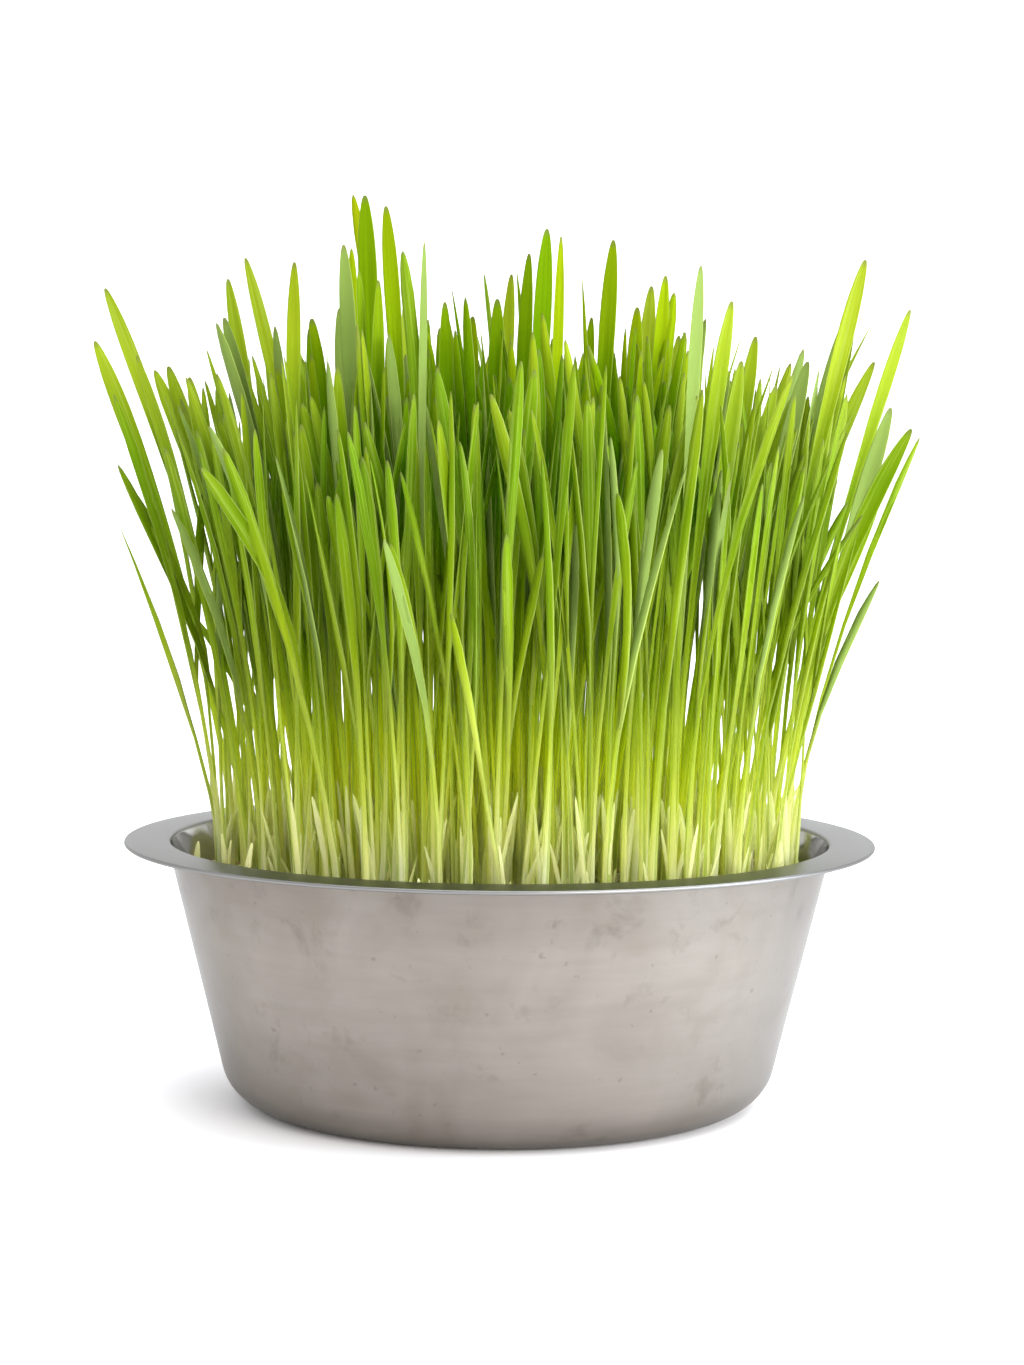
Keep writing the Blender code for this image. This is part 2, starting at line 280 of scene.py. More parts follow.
def bowlProfile(s):
    # outer face from the middle of the base, then the flange with its rolled edge, then the inner face back
    sheet, arc = s["sheet"], s["arcSteps"]
    under = s["rimHeight"] - sheet
    edge = Vector((s["rimRadius"] - s["edgeRadius"], s["rimHeight"] - s["edgeRadius"]))
    edgeFrom = math.asin((edge.y - under) / s["edgeRadius"]) - math.pi
    baseOut, baseIn = (s["baseRadius"], 0.0), (wallRadius(sheet, sheet), sheet)
    bendOut, bendIn = (wallRadius(under), under), (wallRadius(s["rimHeight"], sheet), s["rimHeight"])
    corner = fillet((0, 0), baseOut, bendOut, s["baseCorner"], arc)
    bend = fillet(baseOut, bendOut, (s["rimRadius"], under), s["flangeBend"] + sheet, arc // 2)
    outer = [Vector((0, 0)), Vector((s["baseRadius"] * s["baseRing"], 0))] + corner
    outer += [corner[-1].lerp(bend[0], share) for share in s["wallShares"]] + bend
    flange = [onCircle(edge, s["edgeRadius"], edgeFrom + (math.pi / 2 - edgeFrom) * step / s["edgeSteps"])
              for step in range(s["edgeSteps"] + 1)]
    flange.append(Vector((wallRadius(s["rimHeight"]) + s["flangeBend"] * s["flangeRing"], s["rimHeight"])))
    bend = fillet((s["rimRadius"], s["rimHeight"]), bendIn, baseIn, s["flangeBend"], arc // 2)
    corner = fillet(bendIn, baseIn, (0, sheet), s["baseCorner"] - sheet, arc)
    inner = [bend[-1].lerp(corner[0], share) for share in s["wallShares"]] + corner
    inner += [Vector((s["baseRadius"] * s["baseRing"], sheet)), Vector((0, sheet))]
    return outer, flange + bend, inner


def turningTree():
    # turns a profile polyline once round the Z axis: each row of a grid takes its place, and the zone of the
    # bowl that it belongs to, from one profile point
    tree, given, output = newTree("turned from a profile", [
        ("Profile", "Geometry", None), ("Profile Points", "Int", 8), ("Steps Around", "Int", 64),
        ("Material", "Material", None)], [("Geometry", "Geometry")])
    lines = add(tree, "Math", given["Steps Around"], 1.0, operation="ADD")
    grid = add(tree, "GeometryNodeMeshGrid", 1.0, 1.0, given["Profile Points"], lines)
    index = add(tree, "GeometryNodeInputIndex")
    row = add(tree, "Math", add(tree, "Math", index, lines, operation="DIVIDE"), operation="FLOOR")
    column = add(tree, "Math", index, lines, operation="MODULO")
    share = add(tree, "Math", column, given["Steps Around"], operation="DIVIDE")
    angle = add(tree, "Math", share, math.tau, operation="MULTIPLY")
    profile = add(tree, "GeometryNodeSampleIndex", {
        "Geometry": given["Profile"], "Value": add(tree, "GeometryNodeInputPosition"), "Index": row},
        data_type="FLOAT_VECTOR", domain="POINT")
    turned = add(tree, "VectorRotate", {"Vector": profile, "Angle": angle}, rotation_type="Z_AXIS")
    moved = add(tree, "GeometryNodeSetPosition", {"Geometry": grid, "Position": turned})
    zone = add(tree, "GeometryNodeSampleIndex", {
        "Geometry": given["Profile"], "Index": row,
        "Value": add(tree, "GeometryNodeInputNamedAttribute", {"Name": "zone"}, data_type="FLOAT")},
        data_type="FLOAT", domain="POINT")
    zoned = add(tree, "GeometryNodeStoreNamedAttribute", {
        "Geometry": moved, "Name": "zone", "Value": zone}, data_type="FLOAT", domain="POINT")
    merged = add(tree, "GeometryNodeMergeByDistance", {"Geometry": zoned, "Distance": weld})
    return endTree(tree, merged, given, output)


def outwards(mesh, slightest=1e-7):
    bm = bmesh.new()
    bm.from_mesh(mesh)
    bmesh.ops.remove_doubles(bm, verts=bm.verts, dist=weld)
    bmesh.ops.dissolve_degenerate(bm, edges=bm.edges, dist=slightest)
    bmesh.ops.recalc_face_normals(bm, faces=bm.faces)
    bm.to_mesh(mesh)
    bm.free()


def makeBowl(s, tree, material):
    faces = bowlProfile(s)
    points = [point * mm for face in faces for point in face]
    mesh = bpy.data.meshes.new("steelBowl")
    mesh.from_pydata([(x, 0, z) for x, z in points], [(i, i + 1) for i in range(len(points) - 1)], [])
    noteOnPoints(mesh, "zone", "FLOAT", [zone for zone, face in enumerate(faces) for point in face])
    piece = newPiece("steelBowl", mesh)
    bakeNodes(piece, tree, {
        "Profile Points": len(points), "Steps Around": s["stepsAround"], "Material": material})
    outwards(piece.data)
    piece.data.shade_smooth()
    piece.data.set_sharp_from_angle(angle=math.radians(s["sharpFrom"]))
    handOver(piece, "bowl")


def steelMaterial():
    # Stainless steel sheet, pressed, brushed and washed: the wall is warm grey with faint streaks round it,
    # soft clouds, smudges and dried water spots, most of them where fingers held it below the flange, and
    # painted shade darkens it towards the base and just under the flange; the flange is satin and cooler, and
    # the inside keeps its mill polish. The streaks are coarser than the real brushing, which is too fine to
    # show
    s = {"base": "#928B84", "dark": "#817A72", "smudge": "#6D665D", "flange": "#82817F", "inside": "#908F89",
         "streakHeight": 5 * mm, "streakTurns": 2.0, "streakBump": 0.03, "streakDepth": 0.2 * mm,
         "cloudSize": 30 * mm, "clouds": [(0.34, "#EEECE9"), (0.50, "#F8F8F8"), (0.66, "#FFFFFF")],
         "smudgeSize": 13 * mm, "smudges": [(0.60, 0.0), (0.74, 0.5)], "spotSize": 3.2 * mm,
         "spots": [(0.70, 0.0), (0.76, 0.5)], "held": (0.66, 0.92), "heldMore": 0.07,
         "paintedShadeHeights": [(0.0, 0.88), (0.15, 1.0), (0.68, 1.0), (0.98, 0.80)], "rough": (0.30, 0.40),
         "satin": 0.34, "polished": 0.09, "wallTint": "#DCDDDE", "flangeTint": "#C8C8C6",
         "insideTint": "#FFFFFF"}
    material, tree, surface = newMaterial("stainless steel, brushed")
    place = add(tree, "TexCoord").outputs["Object"]
    xyz = add(tree, "SeparateXYZ", place).outputs
    around = add(tree, "Math", xyz["Y"], xyz["X"], operation="ARCTAN2")
    turns = add(tree, "Math", around, s["streakTurns"], operation="MULTIPLY")
    rows = add(tree, "Math", xyz["Z"], 1 / s["streakHeight"], operation="MULTIPLY")
    wrapped = add(tree, "CombineXYZ", turns, rows)
    streaks = add(tree, "TexNoise", {"Vector": wrapped, "Scale": 1.0, "Detail": 5.0, "Roughness": 0.65})
    smudges = add(tree, "TexNoise", {
        "Vector": place, "Scale": 1 / s["smudgeSize"], "Detail": 4.0, "Roughness": 0.62, "Distortion": 0.4})
    spots = add(tree, "TexNoise", {"Vector": place, "Scale": 1 / s["spotSize"], "Detail": 2.0})
    clouds = add(tree, "TexNoise", {
        "Vector": place, "Scale": 1 / s["cloudSize"], "Detail": 3.0, "Roughness": 0.55, "Distortion": 0.6})
    level = add(tree, "Math", xyz["Z"], bowl["rimHeight"] * mm, operation="DIVIDE")
    held = add(tree, "MapRange", {
        "Value": level, "From Min": s["held"][0], "From Max": s["held"][1], "To Max": s["heldMore"]})
    smudgy = add(tree, "Math", smudges, held, operation="ADD")
    smudgeMask = add(tree, "ValToRGB", smudgy, stops=s["smudges"])
    spotMask = add(tree, "ValToRGB", spots, stops=s["spots"])
    marks = add(tree, "Math", smudgeMask, spotMask, operation="MAXIMUM")
    streaky = add(tree, "Mix", streaks, s["dark"], s["base"], data_type="RGBA")
    smudged = add(tree, "Mix", marks, streaky, s["smudge"], data_type="RGBA")
    cloudy = add(tree, "ValToRGB", clouds, stops=s["clouds"])
    clouded = add(tree, "VectorMath", smudged, cloudy, operation="MULTIPLY")
    # painted shade on the outer wall: darker towards the base and just under the flange, by height
    paintedShadeByHeight = add(tree, "ValToRGB", level, stops=s["paintedShadeHeights"])
    marked = add(tree, "VectorMath", clouded, paintedShadeByHeight, operation="MULTIPLY")
    # zone is 0 on the outer face, 1 on the flange and 2 on the inner face
    zone = add(tree, "Attribute", attribute_name="zone").outputs["Fac"]
    onFlange = add(tree, "Math", zone, 0.5, operation="GREATER_THAN")
    within = add(tree, "MapRange", {"Value": zone, "From Min": 1.0, "From Max": 2.0})
    brushed = add(tree, "MapRange", {"Value": streaks, "To Min": s["rough"][0], "To Max": s["rough"][1]})
    byZone = []
    for kind, outer, flange, inner in (
            ("RGBA", marked, s["flange"], s["inside"]), ("FLOAT", brushed, s["satin"], s["polished"]),
            ("RGBA", s["wallTint"], s["flangeTint"], s["insideTint"])):
        outside = add(tree, "Mix", onFlange, outer, flange, data_type=kind)
        byZone.append(add(tree, "Mix", within, outside, inner, data_type=kind))
    colour, roughness, grazing = byZone
    bump = add(tree, "Bump", {"Height": streaks, "Strength": s["streakBump"], "Distance": s["streakDepth"]})
    steel = add(tree, "BsdfPrincipled", {
        "Base Color": colour, "Metallic": 1.0, "Roughness": roughness, "Specular Tint": grazing,
        "Normal": bump})
    tree.links.new(steel.outputs[0], surface)
    return material


# Plan of the turf: the same feet, tips and bends that the solid shoots have

turf = {
    "matTop": 65.0, "rootDepth": 5.0,
    "count": 300, "radius": 84.0, "centre": (2.5, 0.0), "startAngle": 0.0, "footJitter": 2.2, "seed": 23,
    "sizes": (0.86, 1.12), "bends": (1.1, 2.3), "sway": 3.0, "twist": 0.7,
    "turnToViewer": 0.8, "gap": 0.4, "tries": 80, "levelStep": 6.0, "levels": 33,
    "eyeDistance": 900.0, "eyeHeight": 190.0, "toneSpread": 0.7, "paintedWindowLight": (15.0, 85.0), "paintedShadeSide": 0.55,
    "sideOffset": 60, "sideFan": 0.70, "middleFan": 0.82, "depthSpread": (0.8, 1.4),
    "fan": (4.0, 28.0), "lean": 8.0, "heights": (158.0, 231.0, 217.0), "edgeDrop": 18.0,
    "widthParts": (0.0, 0.34, 0.62, 0.87, 1.0), "widths": (2.7, 2.1, 4.2, 4.6, 0.0),
    "tipLength": 24.0, "dried": 2.5, "nearestFeet": 5,
}

# tallest tips as they read on the plane through the bowl's axis: offset and height
skyline = [
    (-117, 218), (-114, 233), (-105, 214), (-96, 211), (-91, 142), (-90, 208), (-81, 189),
    (-80, 225), (-79, 236), (-74, 242), (-65, 211), (-61, 220), (-60, 241), (-55, 225),
    (-47, 228), (-46, 246), (-40, 260), (-36, 236), (-34, 257), (-28, 232), (-23, 247),
    (-17, 230), (-9, 226), (-2, 231), (2, 238), (7, 244), (12, 251), (16, 249), (25, 226),
    (31, 248), (38, 229), (42, 235), (46, 238), (50, 221), (56, 241), (60, 218), (65, 231),
    (68, 214), (72, 221), (77, 185), (78, 207), (87, 214), (98, 227), (103, 243), (106, 214),
    (108, 174), (111, 201), (116, 229), (117, 195),
]

# late sprouts by the wall: compass angle, distance from the axis and height of the tip
sproutSpots = [
    (181, 88.0, 74.5), (152, 87.5, 88.0), (118, 88.5, 79.0), (74, 87.5, 84.0), (38, 88.5, 77.0),
    (4, 86.5, 72.5), (-27, 88.0, 82.0), (-68, 87.0, 73.0), (-104, 88.5, 76.0), (-141, 87.5, 81.0),
]
lateSprout = {"size": 0.85, "tipLength": 9.0, "leafTo": 0.12, "dried": 0.1, "pale": 1.0, "inward": 0.99}


def spiralFoot(s, draw, index, share):
    golden = math.pi * (3 - math.sqrt(5))
    jitter = Vector((draw.uniform(-1, 1), draw.uniform(-1, 1))) * s["footJitter"]
    return onCircle(Vector(s["centre"]), s["radius"] * share, s["startAngle"] + index * golden) + jitter


def shootFeet(s):
    draw = random.Random(s["seed"])
    shares = [math.sqrt((index + 0.5) / s["count"]) for index in range(s["count"])]
    return [spiralFoot(s, draw, index, share) for index, share in enumerate(shares)]


def shootPoint(shoot, part):
    foot, tip, lean = shoot["foot"], shoot["tip"], shoot["lean"]
    bend = max(part, 0.0) ** shoot["bend"]
    sway = shoot["sway"] * math.sin(math.pi * part)
    return Vector((
        foot.x + (tip.x - foot.x) * bend - sway * lean.y,
        foot.y + (tip.y - foot.y) * bend + sway * lean.x,
        foot.z + (tip.z - foot.z) * part,
    ))


def heading(angle):
    return Vector((math.cos(angle), math.sin(angle), 0))


def leanOf(foot, tip):
    return Vector((tip.x - foot.x, tip.y - foot.y)).normalized()


def newShoot(foot, tip, **said):
    return {"foot": foot, "tip": tip, "lean": leanOf(foot, tip), "sway": 0.0, "facing": 0.0, "twist": 0.0,
            "leafFrom": 0.0, "leafTo": 1.0, "dried": 0.1, "pale": 0.0, **said}


def drawShoot(s, draw, foot, tip, facing):
    return newShoot(
        Vector((foot.x, foot.y, s["matTop"] - s["rootDepth"])), tip, bend=draw.uniform(*s["bends"]),
        sway=draw.uniform(-s["sway"], s["sway"]), facing=facing, twist=draw.uniform(-s["twist"], s["twist"]),
        size=draw.uniform(*s["sizes"]), tipLength=s["tipLength"], dried=s["dried"])


def skylineTip(s, draw, foot, offset, height):
    depth = foot.y * draw.uniform(*s["depthSpread"])
    scale = 1 + depth / s["eyeDistance"]
    return Vector((offset * scale, depth, s["eyeHeight"] + (height - s["eyeHeight"]) * scale))


def fillTip(s, draw, foot):
    out = (foot - Vector(s["centre"])) / s["radius"]
    fan = draw.uniform(*s["fan"])
    height = draw.triangular(*s["heights"]) - s["edgeDrop"] * out.length ** 3
    return Vector((
        foot.x + out.x * fan + draw.gauss(0, s["lean"]),
        foot.y + out.y * fan + draw.gauss(0, s["lean"]),
        height,
    ))


def levelsOf(s, shoot):
    rows = np.full((s["levels"], 3), np.nan)
    foot, top = shoot["foot"].z, shoot["tip"].z
    for row in range(s["levels"]):
        part = (s["matTop"] + s["levelStep"] * row - foot) / (top - foot)
        if part < 1.0:
            point = shootPoint(shoot, part)
            width = float(np.interp(part, s["widthParts"], s["widths"])) * shoot["size"]
            rows[row] = point.x, point.y, width / 2
    return rows


def smallestGap(rows, placed):
    if not placed:
        return math.inf
    others = np.array(placed)
    apart = np.hypot(others[:, :, 0] - rows[:, 0], others[:, :, 1] - rows[:, 1])
    return float(np.nanmin(apart - others[:, :, 2] - rows[:, 2]))


def assignFeet(s, draw):
    free = shootFeet(s)
    pairs = []
    for offset, height in skyline:
        fan = s["sideFan"] if abs(offset) > s["sideOffset"] else s["middleFan"]
        nearest = sorted(free, key=lambda foot: abs(foot.x - offset * fan))
        foot = draw.choice(nearest[:s["nearestFeet"]])
        free.remove(foot)
        pairs.append((foot, (offset, height)))
    return pairs + [(foot, None) for foot in free]


def planShoots(s):
    draw = random.Random(s["seed"] + 1)
    shoots, placed = [], []
    for foot, mark in assignFeet(s, draw):
        bestGap = -math.inf
        for attempt in range(s["tries"]):
            if mark:
                tip = skylineTip(s, draw, foot, *mark)
                facing = draw.uniform(-s["turnToViewer"], s["turnToViewer"])
            else:
                tip = fillTip(s, draw, foot)
                facing = draw.uniform(0, math.pi)
            shoot = drawShoot(s, draw, foot, tip, facing)
            rows = levelsOf(s, shoot)
            gap = smallestGap(rows, placed)
            if gap > bestGap:
                bestGap, best, bestRows = gap, shoot, rows
            if gap > s["gap"]:
                break
        shoots.append(best)
        placed.append(bestRows)
    return shoots[:len(skyline)], shoots[len(skyline):]


def planSprouts(s):
    draw = random.Random(s["seed"] + 2)
    sprouts = []
    for degrees, out, height in sproutSpots:
        foot = onCircle(axis, out, math.radians(degrees))
        tip = Vector((foot.x * lateSprout["inward"], foot.y * lateSprout["inward"], height))
        sprouts.append({**drawShoot(s, draw, foot, tip, draw.uniform(0, math.pi)), **lateSprout})
    return sprouts


# Slender shoots fill in between: thin, a little shorter, leaning any way

slender = {
    "count": 330, "radius": 84.5, "centre": turf["centre"], "crowding": 0.44, "startAngle": 1.1,
    "footJitter": 3.0, "seed": 41, "heights": (184.0, 230.0, 214.0), "edgeDrop": 14.0, "fan": (-2.0, 24.0),
    "lean": 8.0, "sizes": (0.56, 0.84),
}


def planSlender(s, t):
    draw = random.Random(s["seed"])
    shoots = []
    for index in range(s["count"]):
        foot = spiralFoot(s, draw, index, ((index + 0.5) / s["count"]) ** s["crowding"])
        tip = fillTip(s, draw, foot)
        shoot = drawShoot(t, draw, foot, tip, draw.uniform(0, math.pi))
        shoots.append({**shoot, "size": draw.uniform(*s["sizes"])})
    return shoots


def slimShort(shoots, lowest=150.0, highest=215.0, least=0.68):
    # a shoot that stays short has narrower leaves
    for shoot in shoots:
        share = (shoot["tip"].z - lowest) / (highest - lowest)
        shoot["size"] *= least + (1 - least) * min(max(share, 0.0), 1.0)


# Second leaves slip out of the sheath of a shoot part way up and lean away from it

secondLeaf = {
    "share": 0.40, "seed": 61, "outOf": (0.42, 0.62), "ahead": 0.05, "tucked": 4.0, "reach": (0.86, 1.04),
    "lean": (4.0, 15.0), "bend": (1.2, 1.9), "sway": 2.0, "twist": 0.8, "width": (0.66, 0.92),
    "leafFrom": 0.42, "tipLength": 16.0, "fresh": 1.5, "dryShare": 0.10, "dryLength": 45.0,
    "dried": (6.0, 14.0),
}


def planSecondLeaves(s, shoots):
    draw = random.Random(s["seed"])
    leaves = []
    for shoot in shoots:
        if draw.random() > s["share"]:
            continue
        start = draw.uniform(*s["outOf"])
        foot = shootPoint(shoot, start)
        along = (shootPoint(shoot, start + s["ahead"]) - foot).normalized()
        rise = (shoot["tip"].z - foot.z) * draw.uniform(*s["reach"])
        away = heading(draw.uniform(0, math.tau)) * draw.uniform(*s["lean"])
        tip = foot + along * rise / along.z + away
        dry = draw.random() < s["dryShare"]
        dried = draw.uniform(*s["dried"])
        leaves.append(newShoot(
            foot - along * s["tucked"], tip, lean=leanOf(foot, tip), bend=draw.uniform(*s["bend"]),
            sway=draw.uniform(-s["sway"], s["sway"]), facing=draw.uniform(0, math.pi),
            twist=draw.uniform(-s["twist"], s["twist"]), size=shoot["size"] * draw.uniform(*s["width"]),
            leafFrom=s["leafFrom"], tipLength=s["dryLength"] if dry else s["tipLength"],
            dried=dried if dry else s["fresh"]))
    return leaves


# Sheaths: the pale first spear that each shoot came through, still hugging its foot or split away from it

sheath = {
    "perShoot": 2, "share": 0.85, "seed": 67, "heights": (72.0, 98.0), "away": (0.5, 5.0), "footAway": 0.25,
    "size": (0.36, 0.68), "pale": (0.4, 1.0), "bend": 1.5, "twist": 0.3, "leafTo": 0.10, "tipLength": 12.0,
}


def planSheaths(s, shoots):
    draw = random.Random(s["seed"])
    sheaths = []
    for shoot in shoots * s["perShoot"]:
        if draw.random() > s["share"]:
            continue
        height = draw.uniform(*s["heights"])
        away = heading(draw.uniform(0, math.tau)) * draw.uniform(*s["away"])
        part = (height - shoot["foot"].z) / (shoot["tip"].z - shoot["foot"].z)
        sheaths.append(newShoot(
            shoot["foot"] - away * s["footAway"], shootPoint(shoot, part) + away, bend=s["bend"],
            facing=draw.uniform(0, math.pi), twist=s["twist"], size=draw.uniform(*s["size"]),
            leafTo=s["leafTo"], tipLength=s["tipLength"], pale=draw.uniform(*s["pale"])))
    return sheaths


# Each shoot is a tube drawn out along its own path: a pale sheath, a thin stem, then a folded strap
# with a blunt tip. Widths, thicknesses and folds are shares of the largest, from foot to tip

leafShape = {
    "rings": [(0.0, 0.0), (0.11, 0.14), (0.22, 0.27), (0.33, 0.42), (0.44, 0.58), (0.56, 0.75), (0.67, 0.90),
              (0.78, 0.955), (0.89, 0.988), (1.0, 1.0)],
    "leafWidth": 5.2 * mm,
    "width": [(0.0, 0.54), (0.11, 0.50), (0.20, 0.36), (0.42, 0.32), (0.54, 0.38), (0.65, 0.56), (0.76, 0.80),
              (0.87, 0.97), (1.0, 0.97)],
    "tip": [(0.0, 0.12), (0.06, 0.36), (0.25, 0.64), (0.5, 0.85), (1.0, 1.0)],
    "stemThickness": 2.3 * mm,
    "thickness": [(0.0, 1.0), (0.12, 0.95), (0.22, 0.66), (0.40, 0.55), (0.52, 0.42), (0.64, 0.24),
                  (0.80, 0.17), (1.0, 0.12)],
    "foldDepth": 1.6 * mm,
    "fold": [(0.0, 0.0), (0.42, 0.0), (0.54, 0.95), (0.66, 1.0), (0.82, 0.65), (1.0, 0.2)],
    "ahead": 0.02,
}


def pathTree():
    # place on a shoot at a share of its length: it leaves its foot upright and bends over towards its tip
    tree, given, output = newTree("path of a shoot", [
        ("Part", "Float", 0.0), ("Foot", "Vector", None), ("Tip", "Vector", None), ("Lean", "Vector", None),
        ("Bend", "Float", 1.0), ("Sway", "Float", 0.0)], [("Place", "Vector")])
    part = add(tree, "Math", given["Part"], 0.0, operation="MAXIMUM")
    bent = add(tree, "Math", part, given["Bend"], operation="POWER")
    share = add(tree, "CombineXYZ", bent, bent, given["Part"])
    span = add(tree, "VectorMath", given["Tip"], given["Foot"], operation="SUBTRACT")
    along = add(tree, "VectorMath", span, share, given["Foot"], operation="MULTIPLY_ADD")
    turn = add(tree, "Math", given["Part"], math.pi, operation="MULTIPLY")
    wave = add(tree, "Math", turn, operation="SINE")
    swing = add(tree, "Math", wave, given["Sway"], operation="MULTIPLY")
    across = add(tree, "VectorMath", (0, 0, 1), given["Lean"], operation="CROSS_PRODUCT")
    aside = add(tree, "VectorMath", across, swing, operation="SCALE")
    place = add(tree, "VectorMath", along, aside, operation="ADD")
    tree.links.new(place.outputs[0], output[0])
    return tree


def shootTree(s, path):
    tree, given, output = newTree("shoots of wheatgrass", [
        ("Feet", "Geometry", None), ("Sides", "Int", 6), ("Rings", "Int", 10), ("Section Turn", "Float", 0.0),
        ("Leaf Width", "Float", s["leafWidth"]), ("Stem Thickness", "Float", s["stemThickness"]),
        ("Fold Depth", "Float", s["foldDepth"]), ("Material", "Material", None)], [("Geometry", "Geometry")])

    # a straight tube one metre high, whose points remember where on it they are
    line = add(tree, "GeometryNodeCurvePrimitiveLine", {"Start": (0, 0, 0), "End": (0, 0, 1)})
    rings = add(tree, "GeometryNodeResampleCurve", {"Curve": line, "Count": given["Rings"]})
    circle = add(tree, "GeometryNodeCurvePrimitiveCircle", {"Resolution": given["Sides"], "Radius": 1.0})
    tube = add(tree, "GeometryNodeCurveToMesh", {"Curve": rings, "Profile Curve": circle, "Fill Caps": True})
    spun = add(tree, "VectorRotate", {
        "Vector": add(tree, "GeometryNodeInputPosition"), "Angle": given["Section Turn"]},
        rotation_type="Z_AXIS")
    where = add(tree, "SeparateXYZ", spun).outputs
    ringPlace = add(tree, "FloatCurve", {"Value": where["Z"]}, curve=s["rings"])
    reach = add(tree, "GeometryNodeAttributeStatistic", {
        "Geometry": tube, "Attribute": where["X"]}, data_type="FLOAT", domain="POINT").outputs["Max"]
    across = add(tree, "Math", where["X"], reach, operation="DIVIDE")
    shape = tube
    for name, value in (("part", ringPlace), ("across", across), ("through", where["Y"])):
        shape = add(tree, "GeometryNodeStoreNamedAttribute", {
            "Geometry": shape, "Name": name, "Value": value}, data_type="FLOAT", domain="POINT")
    placed = add(tree, "GeometryNodeInstanceOnPoints", {"Points": given["Feet"], "Instance": shape})
    real = add(tree, "GeometryNodeRealizeInstances", {"Geometry": placed})

    # what the plan says of this shoot, and where on it this point is
    said = {}
    for name in ("part", "across", "through", "bend", "sway", "facing", "twist", "size", "leafFrom", "leafTo",
                 "tipLength"):
        said[name] = add(tree, "GeometryNodeInputNamedAttribute", {"Name": name}, data_type="FLOAT")
    for name in ("foot", "tip", "lean"):
        said[name] = add(tree, "GeometryNodeInputNamedAttribute", {"Name": name}, data_type="FLOAT_VECTOR")

    # path, direction of growth, and the leaf's own left and back
    path3 = []
    for step in (0.0, -s["ahead"], s["ahead"]):
        part = add(tree, "Math", said["part"], step, operation="ADD")
        path3.append(add(tree, "GeometryNodeGroup", {
            "Part": part, "Foot": said["foot"], "Tip": said["tip"], "Lean": said["lean"],
            "Bend": said["bend"], "Sway": said["sway"]}, node_tree=path))
    here, before, after = path3
    rise = add(tree, "VectorMath", after, before, operation="SUBTRACT")
    growth = add(tree, "VectorMath", rise, operation="NORMALIZE")
    facing = add(tree, "Math", said["twist"], said["part"], said["facing"],
                 operation="MULTIPLY_ADD")
    flat = add(tree, "CombineXYZ", add(tree, "Math", facing, operation="COSINE"),
               add(tree, "Math", facing, operation="SINE"))
    tipped = add(tree, "VectorMath", flat, growth, operation="DOT_PRODUCT")
    slip = add(tree, "VectorMath", growth, tipped, operation="SCALE")
    level = add(tree, "VectorMath", flat, slip, operation="SUBTRACT")
    side = add(tree, "VectorMath", level, operation="NORMALIZE")
    rib = add(tree, "VectorMath", growth, side, operation="CROSS_PRODUCT")

    # section: width, thickness and fold, each by its own curve along the shoot, and drawn in at the tip
    stretch = add(tree, "Math", said["leafTo"], said["leafFrom"], operation="SUBTRACT")
    along = add(tree, "Math", stretch, said["part"], said["leafFrom"], operation="MULTIPLY_ADD")
    span = add(tree, "VectorMath", said["tip"], said["foot"], operation="DISTANCE")
    left = add(tree, "Math", 1.0, said["part"], operation="SUBTRACT")
    fromTip = add(tree, "Math", left, span, operation="MULTIPLY")
    tipShare = add(tree, "Math", fromTip, said["tipLength"], operation="DIVIDE")
    taper = add(tree, "FloatCurve", {"Value": tipShare}, curve=s["tip"])
    shrunk = add(tree, "Math", taper, said["size"], operation="MULTIPLY")
    sizes = []
    for curve, amount in (("width", "Leaf Width"), ("thickness", "Stem Thickness"), ("fold", "Fold Depth")):
        share = add(tree, "FloatCurve", {"Value": along}, curve=s[curve])
        grown = add(tree, "Math", share, shrunk, operation="MULTIPLY")
        sizes.append(add(tree, "Math", grown, given[amount], operation="MULTIPLY"))
    width, thickness, fold = sizes
    sideways = add(tree, "Math", said["across"], width, operation="MULTIPLY")
    backwards = add(tree, "Math", said["through"], thickness, operation="MULTIPLY")
    outwardness = add(tree, "Math", said["across"], operation="ABSOLUTE")
    keel = add(tree, "Math", 0.5, outwardness, operation="SUBTRACT")
    sunk = add(tree, "Math", keel, fold, backwards, operation="MULTIPLY_ADD")
    moved = add(tree, "VectorMath", side, sideways, operation="SCALE")
    pushed = add(tree, "VectorMath", rib, sunk, operation="SCALE")
    offset = add(tree, "VectorMath", moved, pushed, operation="ADD")
    final = add(tree, "VectorMath", here, offset, operation="ADD")
    drawn = add(tree, "GeometryNodeSetPosition", {"Geometry": real, "Position": final})
    marked = drawn
    for name, value in (("along", along), ("fromTip", fromTip)):
        marked = add(tree, "GeometryNodeStoreNamedAttribute", {
            "Geometry": marked, "Name": name, "Value": value}, data_type="FLOAT", domain="POINT")
    smooth = add(tree, "GeometryNodeSetShadeSmooth", {"Geometry": marked, "Shade Smooth": True})
    return endTree(tree, smooth, given, output)


def toneOf(s, draw, shoot):
    # tone is part random and part painted light: yellower towards the sides, most of all on the window's
    # side, and greener in the middle
    low, high = s["paintedWindowLight"]
    paintedWindowLight = min(max((abs(shoot["tip"].x) - low) / (high - low), 0.0), 1.0)
    if shoot["tip"].x < 0:
        paintedWindowLight *= s["paintedShadeSide"]
    return s["toneSpread"] * draw.random() + (1 - s["toneSpread"]) * paintedWindowLight


# How finely each group is drawn: sides and rings of a shoot's tube, seed of its tones, widest leaf in mm
drawnAs = {
    "tallShoots": (12, 26, 5, 5.2), "shoots": (6, 10, 6, 4.6), "slenderShoots": (6, 10, 9, 4.5),
    "secondLeaves": (6, 10, 7, 5.2), "sheaths": (6, 6, 10, 5.2), "lateSprouts": (6, 10, 8, 5.0),
    "rootThreads": (4, 8, 11, 5.2),
}


